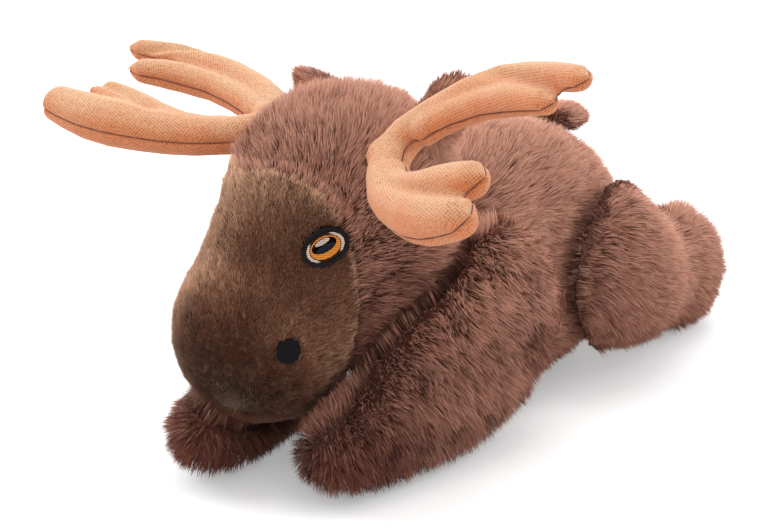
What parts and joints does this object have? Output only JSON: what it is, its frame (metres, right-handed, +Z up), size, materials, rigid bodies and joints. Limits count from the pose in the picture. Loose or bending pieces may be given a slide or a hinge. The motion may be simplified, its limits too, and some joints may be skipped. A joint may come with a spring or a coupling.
{
  "type": "plush moose",
  "caption": "Plush moose lying on its belly, with stuffed twill antlers, an embroidered face, ears, a tail and legs that give at their seams.",
  "frame": {"origin": "centre of the bounding box's underside, on the surface the toy lies on", "axes": "+Z up, -Y towards the face, +X towards the animal's left side"},
  "size_m": [0.2402, 0.2912, 0.1594],
  "materials": {
    "brown_plush": "matte",
    "taupe_plush": "matte",
    "peach_twill": "matte",
    "white_fibre": "matte",
    "black_thread": "matte",
    "amber_thread": "matte",
    "navy_thread": "matte",
    "white_thread": "matte",
    "grey_thread": "matte"
  },
  "bodies": {
    "torso": {"torso_cover": "brown_plush", "torso_filling": "white_fibre"},
    "head": {"head_cover": "brown_plush", "face_cover": "taupe_plush", "head_filling": "white_fibre", "left_eye_outline": "black_thread", "left_eye_white": "white_thread", "left_eye_iris": "amber_thread", "left_eye_pupil": "navy_thread", "left_eye_glint": "grey_thread", "left_nostril": "black_thread", "right_eye_outline": "black_thread", "right_eye_white": "white_thread", "right_eye_iris": "amber_thread", "right_eye_pupil": "navy_thread", "right_eye_glint": "grey_thread", "right_nostril": "black_thread"},
    "tail": {"tail": "brown_plush"},
    "left_antler": {"left_antler_cover": "peach_twill", "left_antler_filling": "white_fibre"},
    "left_ear": {"left_ear": "brown_plush"},
    "left_foreleg": {"left_foreleg_cover": "brown_plush", "left_foreleg_filling": "white_fibre"},
    "left_hindleg": {"left_hindleg_cover": "brown_plush", "left_hindleg_filling": "white_fibre"},
    "right_antler": {"right_antler_cover": "peach_twill", "right_antler_filling": "white_fibre"},
    "right_ear": {"right_ear": "brown_plush"},
    "right_foreleg": {"right_foreleg_cover": "brown_plush", "right_foreleg_filling": "white_fibre"},
    "right_hindleg": {"right_hindleg_cover": "brown_plush", "right_hindleg_filling": "white_fibre"}
  },
  "joints": [
    {"name": "head_nod", "type": "hinge", "parent": "torso", "child": "head", "pos_m": [-0.0004, -0.06838, 0.09], "axis": [-0.8979, 0.438, -0.0436], "range_deg": [0, 15], "stiffness_Nm_per_rad": 0.12},
    {"name": "left_antler_swivel", "type": "hinge", "parent": "head", "child": "left_antler", "pos_m": [0.02822, -0.08689, 0.11279], "axis": [0.698, -0.4515, 0.5558], "range_deg": [-10, 10], "stiffness_Nm_per_rad": 0.25},
    {"name": "right_antler_swivel", "type": "hinge", "parent": "head", "child": "right_antler", "pos_m": [-0.03428, -0.05641, 0.10975], "axis": [-0.8263, 0.2919, 0.4817], "range_deg": [-10, 10], "stiffness_Nm_per_rad": 0.25},
    {"name": "left_ear_flap", "type": "hinge", "parent": "head", "child": "left_ear", "pos_m": [0.03291, -0.06712, 0.11841], "axis": [-0.4211, -0.7385, 0.5266], "range_deg": [-15, 15], "stiffness_Nm_per_rad": 0.002},
    {"name": "right_ear_flap", "type": "hinge", "parent": "head", "child": "right_ear", "pos_m": [-0.02204, -0.04032, 0.11574], "axis": [-0.1198, 0.6194, -0.7759], "range_deg": [-8, 15], "stiffness_Nm_per_rad": 0.002},
    {"name": "tail_flap", "type": "hinge", "parent": "torso", "child": "tail", "pos_m": [-0.0004, 0.06798, 0.08965], "axis": [1, 0, 0], "range_deg": [-15, 20], "stiffness_Nm_per_rad": 0.002},
    {"name": "left_foreleg_splay", "type": "hinge", "parent": "torso", "child": "left_foreleg", "pos_m": [0.0336, -0.02238, 0.0425], "axis": [0, 0, 1], "range_deg": [0, 12], "stiffness_Nm_per_rad": 0.15},
    {"name": "right_foreleg_splay", "type": "hinge", "parent": "torso", "child": "right_foreleg", "pos_m": [-0.0344, -0.02238, 0.0425], "axis": [0, 0, -1], "range_deg": [0, 4], "stiffness_Nm_per_rad": 0.15},
    {"name": "left_hindleg_lift", "type": "hinge", "parent": "torso", "child": "left_hindleg", "pos_m": [0.0336, 0.05162, 0.046], "axis": [1, 0, 0], "range_deg": [0, 8], "stiffness_Nm_per_rad": 0.15},
    {"name": "right_hindleg_lift", "type": "hinge", "parent": "torso", "child": "right_hindleg", "pos_m": [-0.0344, 0.05162, 0.046], "axis": [1, 0, 0], "range_deg": [0, 8], "stiffness_Nm_per_rad": 0.15}
  ]
}
